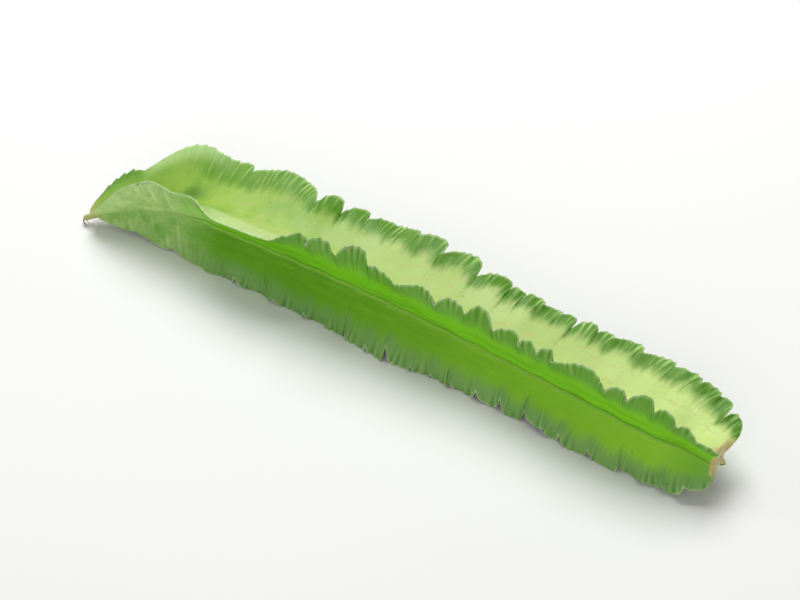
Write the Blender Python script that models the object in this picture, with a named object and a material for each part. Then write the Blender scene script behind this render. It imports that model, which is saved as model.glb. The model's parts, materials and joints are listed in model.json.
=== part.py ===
"""A winged bean, picked and laid down: one green pod with four frilled wings, a bent beak at its tip and a
blunt cut end at its base.

Metres, +Z up. The pod lies along X on the frills of its two lower wings, with its beak towards -X and bent
down and towards -Y. The surface that it lies on is z = 0.

The pod is one piece, so it is one object: a loft through cross sections that change all the way along. Each
section is a four-cornered star. Its corners are the wings, and their edges rise and fall in lobes.
"""

import bmesh
import bpy
import numpy as np

MM = 0.001

# The length of the pod, and of the step between two sections. Every notch of a frill falls on a section.
LENGTH = 204 * MM
STEP = 1.5 * MM

# Half the thickness of the pod between two wings, at mid length, at the beak and at the stalk. Its faces are
# hollow between the wings, and round at both ends.
CORE = 5.4 * MM
BEAK_CORE = 0.8 * MM
STALK_CORE = 3.3 * MM
BEAK_GROWS = (2 * MM, 44 * MM)
BASE_SHRINKS = (184 * MM, 199 * MM)
BEAK_ROUND = (1 * MM, 7 * MM)
STALK_ROUND = (195 * MM, 203 * MM)
FACE_HEIGHT = 0.9
ROUNDER = 0.3

# Each seed swells the pod a little.
SEED_PITCH = 10.5 * MM
SEED_SWELL = 0.035

# A wing's width beyond the body, where its root is in shares of the body's half thickness, half its own
# thickness at the edge, where it is full and where it would end if the pod weren't cut off bluntly before. It
# narrows a little towards the base, where it reaches past the body, and its width sways.
WING = 12.2 * MM
WING_FROM = (1.05, 1.2)
ROOT_AT = 1.18
ROOT_WHERE_BARE = 0.7
BLADE_HALF = 0.42 * MM
BLADE_THINS = 0.55
WING_IS_FULL = 50 * MM
WING_NARROWS = (90 * MM, 160 * MM)
NARROWING = 0.16
WING_ENDS = 205.6 * MM
BASE_OVERHANG = 3 * MM
OVERHANG_FROM = 163 * MM
OVERHANG_POWER = 1.5
SWAY = 0.08
SWAY_PITCH = 80 * MM

# The frill: lobes, which fill the outer part of a wing and lean towards the base, so that each is steeper on
# that side.
NOTCH_AT_TIP = 0.05
LOBE_SKEW = 1.35
LOBE_BLUNT = 0.6
LOBE_FOLD = 1.2
NOTCH_ASIDE = 1.3 * MM
FRILL_POWER = 2.6
CURL_POWER = 2

# The line through the middle of the pod: bowed and arched a little, and curled at the tip.
AXIS_HEIGHT = 12.5 * MM
ARCH = 0.8 * MM
BASE_SINKS = (80 * MM, 165 * MM)
BASE_DROP = 0.9 * MM
BOW_FROM = 190 * MM
BOW_TOWARDS_FRONT = 10.5 * MM
TIP_BENDS_FROM = 42 * MM
TIP_TOWARDS_FRONT = 12.5 * MM
TIP_DROP = 10.0 * MM
TIP_CURL = 1.9
CENTRE_SHIFT = (-0.37 * MM, 2.8 * MM)

# The line along the middle of the front and back faces, where the two halves of the pod meet.
SEAM = 0.5 * MM

# What would come closer to the table than this is pressed flat against it.
PRESSED = 0.2 * MM

# Each wing: its direction round the pod in degrees from +Y towards +Z, the share of the full width, where it
# is widest, how far its edge curls aside, where it starts and where it rounds off, how bluntly it starts,
# between which sections its frill grows, how far its lip folds out, and its lobes. Each lobe has the number
# of the section where it ends, the depth of the notch there and how far the lobe rises above the others, both
# in shares of the width, and how far it leans aside in millimetres.
WINGS = (
    {
        "at": 31,
        "width": 1.1,
        "widest": 105 * MM,
        "curl": -2.2 * MM,
        "span": (1 * MM, 194 * MM),
        "blunt": 0.5,
        "frill": (24 * MM, 60 * MM),
        "lip": 0,
        "lobes": (
            (10, 0.06, 0.16, 0.6), (22, 0.08, 0.18, 0.6), (28, 0.34, -0.18, 0.4), (43, 0.38, 0.10, 0.9),
            (49, 0.42, 0, -2.2), (54, 0.24, 0, 1.0), (65, 0.14, -0.03, 1.4), (71, 0.36, 0, 0.8),
            (79, 0.38, 0.03, 1.9), (86, 0.42, 0, 1.2), (89, 0.26, -0.08, -1.8), (93, 0.14, 0, 0.9),
            (97, 0.18, 0, 1.6), (100, 0.42, 0, 0.6), (105, 0.24, 0.02, -2.2), (108, 0.14, 0, 0.8),
            (114, 0.18, 0.03, 2.0), (120, 0.16, 0, 1.2), (125, 0.22, 0, 0.7), (129, 0.12, 0, 1.6),
            (132, 0.42, 0, 0.5), (137, 0.16, 0.10, 1.8),
        ),
    },
    {
        "at": 129,
        "width": 1.0,
        "widest": 90 * MM,
        "curl": -2.6 * MM,
        "span": (2 * MM, 160 * MM),
        "blunt": 0.45,
        "frill": (60 * MM, 73 * MM),
        "lip": 4.8 * MM,
        "lobes": (
            (20, 0.10, 0, 0), (27, 0.10, -0.22, 0), (47, 0.08, 0, 0), (51, 0.22, -0.15, 0.4),
            (57, 0.38, 0.18, 0.9), (64, 0.34, 0.05, 1.4), (70, 0.26, -0.08, -1.4), (79, 0.20, 0, 1.2),
            (85, 0.22, 0, 0.6), (91, 0.28, 0.05, 1.8), (97, 0.22, 0, 0.9), (101, 0.13, -0.05, 0.5),
            (104, 0.15, -0.05, 1.1), (115, 0.36, 0.08, 1.6), (119, 0.22, 0, 0.7), (124, 0.26, 0, 2.1),
            (128, 0.36, -0.05, 1.0), (132, 0.30, -0.25, 0.5), (137, 0.30, -0.25, 0.8),
        ),
    },
    {
        "at": 218,
        "width": 0.98,
        "widest": 100 * MM,
        "curl": 3.0 * MM,
        "span": (3 * MM, 190 * MM),
        "blunt": 0.75,
        "frill": (24 * MM, 60 * MM),
        "lip": 0,
        "lobes": (
            (8, 0.16, 0, 0.6), (16, 0.18, 0, 1.0), (26, 0.10, 0, 0.8), (34, 0.24, 0, 1.4),
            (43, 0.12, 0, 0.6), (51, 0.16, 0, 1.2), (56, 0.20, 0, 1.8), (60, 0.34, 0, 0.7),
            (66, 0.16, 0, 1.3), (70, 0.42, 0.05, 2.0), (76, 0.20, 0, 0.9), (80, 0.16, 0, 1.4),
            (84, 0.16, 0, 0.6), (90, 0.24, 0.04, 1.7), (95, 0.28, 0, 1.1), (100, 0.38, 0.06, 2.0),
            (105, 0.20, -0.10, -1.6), (108, 0.22, -0.05, 0.8), (114, 0.26, 0, 1.5), (120, 0.36, 0, 1.0),
            (124, 0.24, -0.22, 0.6), (128, 0.24, -0.20, 0.9), (132, 0.20, 0, 1.5), (137, 0.30, 0, 0.8),
        ),
    },
    {
        "at": 311,
        "width": 0.88,
        "widest": 60 * MM,
        "curl": -0.5 * MM,
        "span": (3 * MM, 180 * MM),
        "blunt": 0.75,
        "frill": (24 * MM, 60 * MM),
        "lip": 0,
        "lobes": (
            (7, 0.14, 0, 0.6), (15, 0.20, 0, 1.1), (22, 0.20, 0, 0.9), (30, 0.24, 0, 1.6),
            (36, 0.26, 0, 0.5), (43, 0.20, 0, 1.8), (48, 0.30, 0, 1.2), (55, 0.24, 0, 0.7),
            (60, 0.32, 0, 2.0), (67, 0.22, 0, 1.0), (71, 0.30, 0, -1.4), (78, 0.26, 0, 1.5),
            (84, 0.20, 0, 0.6), (89, 0.32, 0, 1.9), (96, 0.24, 0, 1.1), (101, 0.28, 0, 0.8),
            (107, 0.22, 0, 1.7), (112, 0.30, 0, -1.2), (119, 0.24, 0, 1.3), (124, 0.28, 0, 0.9),
            (130, 0.22, 0, 1.5), (137, 0.30, 0, 0.8),
        ),
    },
)
TWIST = (6, -3)
TWIST_ENDS = 122 * MM

# A wing with a lip leans further over along the head and folds out behind it.
HEAD = (4 * MM, 14 * MM, 22 * MM, 32 * MM)
LIP = (34 * MM, 48 * MM, 65 * MM, 71 * MM)
HEAD_LEAN = 0.9

# Where across a wing, and across the face after each wing, the sections have points.
ACROSS_WING = (0, 0.5, 0.8, 1)
ACROSS_FACE = ((0.33, 0.67), (0.38, 0.5, 0.62), (0.5,), (0.38, 0.5, 0.62))

GREEN = (0.20, 0.42, 0.05, 1)
ROUGHNESS = 0.45


def smooth(s, start, end):
    """0 before start, 1 after end, and an even rise between them."""
    t = np.clip((s - start) / (end - start), 0, 1)
    return t * t * (3 - 2 * t)


def core(s):
    """Half the body's thickness between two wings: slim at the beak and at the stalk, with seeds between."""
    grown = BEAK_CORE + (CORE - BEAK_CORE) * smooth(s, *BEAK_GROWS)
    base = smooth(s, *BASE_SHRINKS)
    swell = 1 + SEED_SWELL * np.cos(2 * np.pi * s / SEED_PITCH) * smooth(s, *BEAK_GROWS)
    return (grown * (1 - base) + STALK_CORE * base) * swell


def wing_share(s, start, rounds_off, blunt):
    """How much of its full width a wing has: it opens from the tip, and ends in a quarter circle. With blunt
    at a half it opens in a quarter circle too, and it is slimmer at the tip with more."""
    rise = np.clip((s - start) / (WING_IS_FULL - start), 0, 1)
    fall = np.clip((s - rounds_off) / (WING_ENDS - rounds_off), 0, 1)
    return (1 - (1 - rise) ** 2) ** blunt * np.sqrt(1 - fall**2) * (1 - NARROWING * smooth(s, *WING_NARROWS))


def bareness(s):
    """1 at the ends of the pod, where it has no wings and is round, and 0 along the wings."""
    return 1 - smooth(s, *BEAK_ROUND) * (1 - smooth(s, *STALK_ROUND))


def frill(s, wing):
    """The lobes of one wing's edge: (share of the width that is left, shift aside). From notch to notch both
    follow half a sine wave, and the depth runs from one notch's to the next one's."""
    ends, depth, height, fold = np.array(((0, NOTCH_AT_TIP, 0, 0), *wing["lobes"])).T
    ends = ends * STEP
    lobe = np.searchsorted(ends, s, side="right")
    along = ((s - ends[lobe - 1]) / (ends[lobe] - ends[lobe - 1])) ** LOBE_SKEW
    bump = np.sin(np.pi * along)
    deep = depth[lobe - 1] * (1 - along) + depth[lobe] * along
    sway = 1 + SWAY * np.cos(2 * np.pi * (s - wing["widest"]) / SWAY_PITCH)
    lean = np.sign(wing["curl"]) * smooth(s, *wing["frill"])
    width = sway * (1 - deep * (1 - bump**LOBE_BLUNT) + height[lobe] * bump)
    return width, lean * ((NOTCH_ASIDE + fold[lobe] * MM) * bump**LOBE_FOLD - NOTCH_ASIDE)


def stretch(s, starts, full, fades, ends):
    """1 between full and fades, 0 outside starts and ends, and an even rise and fall."""
    return smooth(s, starts, full) * (1 - smooth(s, fades, ends))


def curl(s, wing):
    """How far a wing's edge bends aside: evenly, but for the head and the lip of a wing that has one."""
    return wing["curl"] + wing["lip"] * (stretch(s, *LIP) - HEAD_LEAN * stretch(s, *HEAD))


def middle_line(s):
    """The points of the pod's axis: a slight bow and arch, curled down and towards the front at the tip."""
    bend = np.clip(1 - s / TIP_BENDS_FROM, 0, 1) ** TIP_CURL
    bow = np.clip(1 - s / BOW_FROM, 0, 1) ** 2
    x = s - LENGTH / 2 + CENTRE_SHIFT[0]
    y = CENTRE_SHIFT[1] - TIP_TOWARDS_FRONT * bend - BOW_TOWARDS_FRONT * bow
    z = AXIS_HEIGHT + ARCH * np.sin(np.pi * s / LENGTH) - BASE_DROP * smooth(s, *BASE_SINKS) - TIP_DROP * bend
    return np.stack([x, y, z], axis=-1)


def unit(vectors):
    return vectors / np.linalg.norm(vectors, axis=-1, keepdims=True)


def section_axes(s):
    """Three directions at each section: along the pod, and the two across it, turned by the pod's twist."""
    along = unit(np.gradient(middle_line(s), s, axis=0))
    side = unit(np.cross([0, 0, 1], along))
    up = np.cross(along, side)
    turn = np.radians(TWIST[0] + (TWIST[1] - TWIST[0]) * smooth(s, 0, TWIST_ENDS))[:, None]
    return along, side * np.cos(turn) + up * np.sin(turn), up * np.cos(turn) - side * np.sin(turn)


def towards(degrees, side, up):
    """The direction across the pod at this angle from its side."""
    angle = np.radians(degrees)
    return side * np.cos(angle) + up * np.sin(angle)


def wing_sides(wing, s):
    """The two faces of a wing, each as a grid of sections by points from root to edge.
    The wing's middle surface is bent by its frill and held off the table. Its faces lie half a
    thickness to each side of it, and that thickness falls along a hyperbola from the body outwards."""
    along, side, up = section_axes(s)
    out = towards(wing["at"], side, up)[:, None]
    aside = towards(wing["at"] + 90, side, up)[:, None]
    left, shift = frill(s, wing)
    share = wing_share(s, *wing["span"], wing["blunt"])
    body = core(s)
    start = WING_FROM[1] + (WING_FROM[0] - WING_FROM[1]) * bareness(s)
    edge = start * body + WING * wing["width"] * share * left
    root = np.minimum(ROOT_AT * body, (edge + ROOT_WHERE_BARE * body) / 2)
    across = np.array(ACROSS_WING, float)
    height = root[:, None] + (edge - root)[:, None] * across
    bend = (shift * share)[:, None] * across**FRILL_POWER
    bend += (curl(s, wing) * share)[:, None] * across**CURL_POWER
    overhang = BASE_OVERHANG * (share * smooth(s, OVERHANG_FROM, WING_ENDS))[:, None] * across**OVERHANG_POWER
    middle = (
        middle_line(s)[:, None]
        + out * height[..., None]
        + aside * bend[..., None]
        + along[:, None] * overhang[..., None]
    )
    middle[..., 2] = np.maximum(middle[..., 2], BLADE_HALF)
    half = np.maximum(body[:, None] ** 2 / (2 * height) * (1 - BLADE_THINS * across), BLADE_HALF)
    normal = unit(np.cross(np.gradient(middle, axis=0), np.gradient(middle, axis=1)))
    normal *= np.sign((normal * aside).sum(-1, keepdims=True))
    return middle - normal * half[..., None], middle + normal * half[..., None]


def face_between(near, far, s, at, across, seam):
    """The body's surface from one wing's root to the next: a parabola through three points, hollow in the
    middle, with the seam raised on it."""
    _, side, up = section_axes(s)
    out = towards(at, side, up)
    control = middle_line(s) + out * ((FACE_HEIGHT + ROUNDER * bareness(s)) * core(s))[:, None]
    rows = []
    for t in across:
        point = (1 - t) ** 2 * near + 2 * t * (1 - t) * control + t**2 * far
        rows.append(point + out * (seam if t == 0.5 else 0) * smooth(s, *BEAK_GROWS)[:, None])
    return np.stack(rows, axis=1)


def pod_sections():
    """Every section as one closed loop of points, and for each point whether the strip after it runs
    from a wing's edge back to its root."""
    s = np.arange(round(LENGTH / STEP) + 1) * STEP
    sides = [wing_sides(wing, s) for wing in WINGS]
    loops, back = [], []
    for i, wing in enumerate(WINGS):
        after = (i + 1) % len(WINGS)
        right, left = sides[i]
        at = wing["at"] + (WINGS[after]["at"] - wing["at"]) % 360 / 2
        face = face_between(left[:, 0], sides[after][0][:, 0], s, at, ACROSS_FACE[i], SEAM * (i % 2))
        loops += [right, left[:, ::-1], face]
        back += [False] * right.shape[1] + [True] * left.shape[1] + [False] * face.shape[1]
    points = np.concatenate(loops, axis=1)
    points[..., 2] = np.where(points[..., 2] < PRESSED, 0, points[..., 2])
    return points, back


def skin(name, sections, back):
    """A closed mesh through the sections, in triangles. The two faces of a wing are split along the same
    diagonals, so that a thin wing keeps its thickness where it is bent."""
    built = bmesh.new()
    rings = [[built.verts.new(point) for point in section] for section in sections]
    count = len(rings[0])
    for ring, following in zip(rings, rings[1:]):
        for j in range(count):
            k = (j + 1) % count
            a, b, c, d = ring[j], following[j], following[k], ring[k]
            if back[j]:
                built.faces.new((a, b, d))
                built.faces.new((b, c, d))
            else:
                built.faces.new((a, b, c))
                built.faces.new((a, c, d))
    bmesh.ops.triangulate(built, faces=[built.faces.new(ring) for ring in (rings[0], rings[-1])])
    bmesh.ops.recalc_face_normals(built, faces=built.faces)
    mesh = bpy.data.meshes.new(name)
    built.to_mesh(mesh)
    built.free()
    return mesh


def pod_green():
    """Fresh green skin, a little glossy."""
    material = bpy.data.materials.new("pod_green")
    material.use_nodes = True
    shader = material.node_tree.nodes["Principled BSDF"]
    shader.inputs["Base Color"].default_value = GREEN
    shader.inputs["Roughness"].default_value = ROUGHNESS
    shader.inputs["Metallic"].default_value = 0
    return material


def main():
    for thing in list(bpy.data.objects):
        bpy.data.objects.remove(thing)
    collection = bpy.data.collections.new("winged_bean")
    bpy.context.scene.collection.children.link(collection)
    mesh = skin("pod", *pod_sections())
    mesh.materials.append(pod_green())
    collection.objects.link(bpy.data.objects.new("pod", mesh))


main()
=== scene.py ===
# %% [markdown]
# # A winged bean
#
# This notebook dresses one green pod. The solid model already says where every wing, lobe and bend of the
# pod is, so the work here is the skin: the same form in a much finer mesh, with pleats and veins that the
# solid leaves out, and a material for it. Everything is in metres, with the floor at z = 0.

# %% Load the solid model
import json
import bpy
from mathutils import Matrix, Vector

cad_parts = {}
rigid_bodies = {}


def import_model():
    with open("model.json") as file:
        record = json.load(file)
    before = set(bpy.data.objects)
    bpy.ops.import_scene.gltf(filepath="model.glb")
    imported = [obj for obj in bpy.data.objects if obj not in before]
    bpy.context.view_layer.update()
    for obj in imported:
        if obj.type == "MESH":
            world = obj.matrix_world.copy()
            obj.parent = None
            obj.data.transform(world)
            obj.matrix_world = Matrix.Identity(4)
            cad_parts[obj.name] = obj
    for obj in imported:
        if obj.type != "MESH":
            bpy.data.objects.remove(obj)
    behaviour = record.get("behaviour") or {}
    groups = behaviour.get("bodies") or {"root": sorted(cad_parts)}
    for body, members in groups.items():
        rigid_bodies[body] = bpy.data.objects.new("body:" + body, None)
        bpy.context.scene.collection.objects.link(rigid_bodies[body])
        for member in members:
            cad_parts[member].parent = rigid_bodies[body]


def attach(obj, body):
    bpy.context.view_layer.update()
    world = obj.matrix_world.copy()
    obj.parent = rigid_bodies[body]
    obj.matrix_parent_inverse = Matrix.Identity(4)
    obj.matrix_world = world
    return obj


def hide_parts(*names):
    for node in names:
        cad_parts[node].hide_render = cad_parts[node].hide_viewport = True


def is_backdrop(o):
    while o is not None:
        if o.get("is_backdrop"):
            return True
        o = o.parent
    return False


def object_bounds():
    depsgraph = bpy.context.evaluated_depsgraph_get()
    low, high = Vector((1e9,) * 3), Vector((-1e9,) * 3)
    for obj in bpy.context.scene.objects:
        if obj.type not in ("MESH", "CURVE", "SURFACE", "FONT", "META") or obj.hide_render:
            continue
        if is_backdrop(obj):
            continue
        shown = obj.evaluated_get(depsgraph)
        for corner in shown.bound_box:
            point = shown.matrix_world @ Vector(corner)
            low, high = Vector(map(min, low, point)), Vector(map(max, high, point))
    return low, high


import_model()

from types import SimpleNamespace

import bpy
import numpy as np

solid_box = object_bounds()
print("the solid's box:", solid_box)

# %% [markdown]
# ## The form of the pod
#
# A winged bean is a slim body with four wings, so a slice through it is a star with four points. The form
# could be sculpted, but a formula for the slice gives every wing at once: the body's thickness, each wing's
# width and the way that it bends are all functions of s, the distance along the pod. These are the solid's
# own sizes and formulas, so the skin lies where the solid does.

# %% Sizes of the pod
MM = 0.001
LENGTH = 204 * MM
STEP = 1.5 * MM

CORE = 5.4 * MM
BEAK_CORE = 0.8 * MM
STALK_CORE = 3.3 * MM
BEAK_GROWS = (2 * MM, 44 * MM)
BASE_SHRINKS = (184 * MM, 199 * MM)
BEAK_ROUND = (1 * MM, 7 * MM)
STALK_ROUND = (195 * MM, 203 * MM)
FACE_HEIGHT = 0.9
ROUNDER = 0.3
SEED_PITCH = 10.5 * MM
SEED_SWELL = 0.035

WING = 12.2 * MM
WING_FROM = (1.05, 1.2)
ROOT_AT = 1.18
ROOT_WHERE_BARE = 0.7
BLADE_HALF = 0.42 * MM
BLADE_THINS = 0.55
WING_IS_FULL = 50 * MM
WING_NARROWS = (90 * MM, 160 * MM)
NARROWING = 0.16
WING_ENDS = 205.6 * MM
BASE_OVERHANG = 3 * MM
OVERHANG_FROM = 163 * MM
OVERHANG_POWER = 1.5
SWAY = 0.08
SWAY_PITCH = 80 * MM

NOTCH_AT_TIP = 0.05
LOBE_SKEW = 1.35
LOBE_BLUNT = 0.6
LOBE_FOLD = 1.2
NOTCH_ASIDE = 1.3 * MM
FRILL_POWER = 2.6
CURL_POWER = 2

AXIS_HEIGHT = 12.5 * MM
ARCH = 0.8 * MM
BASE_SINKS = (80 * MM, 165 * MM)
BASE_DROP = 0.9 * MM
BOW_FROM = 190 * MM
BOW_TOWARDS_FRONT = 10.5 * MM
TIP_BENDS_FROM = 42 * MM
TIP_TOWARDS_FRONT = 12.5 * MM
TIP_DROP = 10.0 * MM
TIP_CURL = 1.9
CENTRE_SHIFT = (-0.37 * MM, 2.8 * MM)
SEAM = 0.5 * MM

WINGS = (
    {
        "at": 31,
        "width": 1.1,
        "widest": 105 * MM,
        "curl": -2.2 * MM,
        "span": (1 * MM, 194 * MM),
        "blunt": 0.5,
        "frill": (24 * MM, 60 * MM),
        "lip": 0,
        "lobes": (
            (10, 0.06, 0.16, 0.6), (22, 0.08, 0.18, 0.6), (28, 0.34, -0.18, 0.4), (43, 0.38, 0.10, 0.9),
            (49, 0.42, 0, -2.2), (54, 0.24, 0, 1.0), (65, 0.14, -0.03, 1.4), (71, 0.36, 0, 0.8),
            (79, 0.38, 0.03, 1.9), (86, 0.42, 0, 1.2), (89, 0.26, -0.08, -1.8), (93, 0.14, 0, 0.9),
            (97, 0.18, 0, 1.6), (100, 0.42, 0, 0.6), (105, 0.24, 0.02, -2.2), (108, 0.14, 0, 0.8),
            (114, 0.18, 0.03, 2.0), (120, 0.16, 0, 1.2), (125, 0.22, 0, 0.7), (129, 0.12, 0, 1.6),
            (132, 0.42, 0, 0.5), (137, 0.16, 0.10, 1.8),
        ),
    },
    {
        "at": 129,
        "width": 1.0,
        "widest": 90 * MM,
        "curl": -2.6 * MM,
        "span": (2 * MM, 160 * MM),
        "blunt": 0.45,
        "frill": (60 * MM, 73 * MM),
        "lip": 4.8 * MM,
        "lobes": (
            (20, 0.10, 0, 0), (27, 0.10, -0.22, 0), (47, 0.08, 0, 0), (51, 0.22, -0.15, 0.4),
            (57, 0.38, 0.18, 0.9), (64, 0.34, 0.05, 1.4), (70, 0.26, -0.08, -1.4), (79, 0.20, 0, 1.2),
            (85, 0.22, 0, 0.6), (91, 0.28, 0.05, 1.8), (97, 0.22, 0, 0.9), (101, 0.13, -0.05, 0.5),
            (104, 0.15, -0.05, 1.1), (115, 0.36, 0.08, 1.6), (119, 0.22, 0, 0.7), (124, 0.26, 0, 2.1),
            (128, 0.36, -0.05, 1.0), (132, 0.30, -0.25, 0.5), (137, 0.30, -0.25, 0.8),
        ),
    },
    {
        "at": 218,
        "width": 0.98,
        "widest": 100 * MM,
        "curl": 3.0 * MM,
        "span": (3 * MM, 190 * MM),
        "blunt": 0.75,
        "frill": (24 * MM, 60 * MM),
        "lip": 0,
        "lobes": (
            (8, 0.16, 0, 0.6), (16, 0.18, 0, 1.0), (26, 0.10, 0, 0.8), (34, 0.24, 0, 1.4),
            (43, 0.12, 0, 0.6), (51, 0.16, 0, 1.2), (56, 0.20, 0, 1.8), (60, 0.34, 0, 0.7),
            (66, 0.16, 0, 1.3), (70, 0.42, 0.05, 2.0), (76, 0.20, 0, 0.9), (80, 0.16, 0, 1.4),
            (84, 0.16, 0, 0.6), (90, 0.24, 0.04, 1.7), (95, 0.28, 0, 1.1), (100, 0.38, 0.06, 2.0),
            (105, 0.20, -0.10, -1.6), (108, 0.22, -0.05, 0.8), (114, 0.26, 0, 1.5), (120, 0.36, 0, 1.0),
            (124, 0.24, -0.22, 0.6), (128, 0.24, -0.20, 0.9), (132, 0.20, 0, 1.5), (137, 0.30, 0, 0.8),
        ),
    },
    {
        "at": 311,
        "width": 0.88,
        "widest": 60 * MM,
        "curl": -0.5 * MM,
        "span": (3 * MM, 180 * MM),
        "blunt": 0.75,
        "frill": (24 * MM, 60 * MM),
        "lip": 0,
        "lobes": (
            (7, 0.14, 0, 0.6), (15, 0.20, 0, 1.1), (22, 0.20, 0, 0.9), (30, 0.24, 0, 1.6),
            (36, 0.26, 0, 0.5), (43, 0.20, 0, 1.8), (48, 0.30, 0, 1.2), (55, 0.24, 0, 0.7),
            (60, 0.32, 0, 2.0), (67, 0.22, 0, 1.0), (71, 0.30, 0, -1.4), (78, 0.26, 0, 1.5),
            (84, 0.20, 0, 0.6), (89, 0.32, 0, 1.9), (96, 0.24, 0, 1.1), (101, 0.28, 0, 0.8),
            (107, 0.22, 0, 1.7), (112, 0.30, 0, -1.2), (119, 0.24, 0, 1.3), (124, 0.28, 0, 0.9),
            (130, 0.22, 0, 1.5), (137, 0.30, 0, 0.8),
        ),
    },
)
TWIST = (6, -3)
TWIST_ENDS = 122 * MM
LIP = (34 * MM, 48 * MM, 65 * MM, 71 * MM)
HEAD = (4 * MM, 14 * MM, 22 * MM, 32 * MM)
HEAD_LEAN = 0.9

# %% How the body and the wings grow along the pod


def smooth(s, start, end):
    """0 before start, 1 after end, and an even rise between them."""
    t = np.clip((s - start) / (end - start), 0, 1)
    return t * t * (3 - 2 * t)


def core(s):
    """Half the body's thickness: from slim at the beak to full and back to the stalk, times a cosine wave
    for the seeds."""
    grown = BEAK_CORE + (CORE - BEAK_CORE) * smooth(s, *BEAK_GROWS)
    base = smooth(s, *BASE_SHRINKS)
    swell = 1 + SEED_SWELL * np.cos(2 * np.pi * s / SEED_PITCH) * smooth(s, *BEAK_GROWS)
    return (grown * (1 - base) + STALK_CORE * base) * swell


def wing_share(s, start, rounds_off, blunt):
    """The share of its full width that a wing has: a power of a parabola that opens from the tip, and a
    quarter circle at the base."""
    rise = np.clip((s - start) / (WING_IS_FULL - start), 0, 1)
    fall = np.clip((s - rounds_off) / (WING_ENDS - rounds_off), 0, 1)
    return (1 - (1 - rise) ** 2) ** blunt * np.sqrt(1 - fall**2) * (1 - NARROWING * smooth(s, *WING_NARROWS))


def bareness(s):
    """1 at the ends of the pod, which are round and have no wings, and 0 between them."""
    return 1 - smooth(s, *BEAK_ROUND) * (1 - smooth(s, *STALK_ROUND))


def middle_line(s):
    """The pod's axis: a straight line, minus powers of the distance left to the tip for the bow and the
    beak, plus half a sine wave for the arch."""
    bend = np.clip(1 - s / TIP_BENDS_FROM, 0, 1) ** TIP_CURL
    bow = np.clip(1 - s / BOW_FROM, 0, 1) ** 2
    x = s - LENGTH / 2 + CENTRE_SHIFT[0]
    y = CENTRE_SHIFT[1] - TIP_TOWARDS_FRONT * bend - BOW_TOWARDS_FRONT * bow
    z = AXIS_HEIGHT + ARCH * np.sin(np.pi * s / LENGTH)
    z = z - BASE_DROP * smooth(s, *BASE_SINKS) - TIP_DROP * bend
    return np.stack([x, y, z], axis=-1)


def unit(vectors):
    """Each vector divided by its own length."""
    return vectors / np.linalg.norm(vectors, axis=-1, keepdims=True)


def section_axes(s):
    """Along the pod, and the two directions across it: cross products with the vertical, turned by the
    twist."""
    along = unit(np.gradient(middle_line(s), s, axis=0))
    side = unit(np.cross([0, 0, 1], along))
    up = np.cross(along, side)
    turn = np.radians(TWIST[0] + (TWIST[1] - TWIST[0]) * smooth(s, 0, TWIST_ENDS))[:, None]
    return along, side * np.cos(turn) + up * np.sin(turn), up * np.cos(turn) - side * np.sin(turn)


def towards(degrees, side, up):
    """The direction across the pod at this angle from its side: cosine of the side plus sine of the up."""
    angle = np.radians(degrees)
    return side * np.cos(angle) + up * np.sin(angle)


CUTS = 6
s = np.arange(round(LENGTH / STEP) * CUTS + 1) * (STEP / CUTS)
print("sections:", len(s), "body:", round(2 * core(s).max() / MM, 1), "mm thick")

# %% [markdown]
# ## The frills
#
# The edge of each wing grows faster than its root, so it has too much length and stands in lobes, and every
# lobe is gathered in a few small pleats, like the edge of a lettuce leaf. A cloth simulation could ruffle a
# strip, but then it wouldn't follow the solid. Here each lobe is half a sine wave between the solid's own
# notches, and the pleats are a faster sine wave on top of it that fans out towards the edge.

# %% Lobes and pleats
PLEAT = 1.7 * MM
PLEAT_FOLD = 0.36 * MM
PLEAT_POWER = 2.2
PLEAT_DRIFT = 1.1
PLEAT_VARIES = (0.6, 0.4)
PLEAT_PITCHES = (5.3 * MM, 7.9 * MM)
TOOTH = 0.022
FAN = 1.0 * MM
LEAN_OVER = 0.8 * MM
ROLL = 0.9 * MM
ROLL_POWER = 5
WANDER = 0.7 * MM
WANDER_PITCHES = (31 * MM, 47 * MM)
CREST_PITCH = 2.1 * MM
CREST_TEETH = (
    (0.09, (4 * MM, 6 * MM, 12 * MM, 15 * MM)),
    (0.045, (22 * MM, 27 * MM, 42 * MM, 50 * MM)),
)


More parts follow.
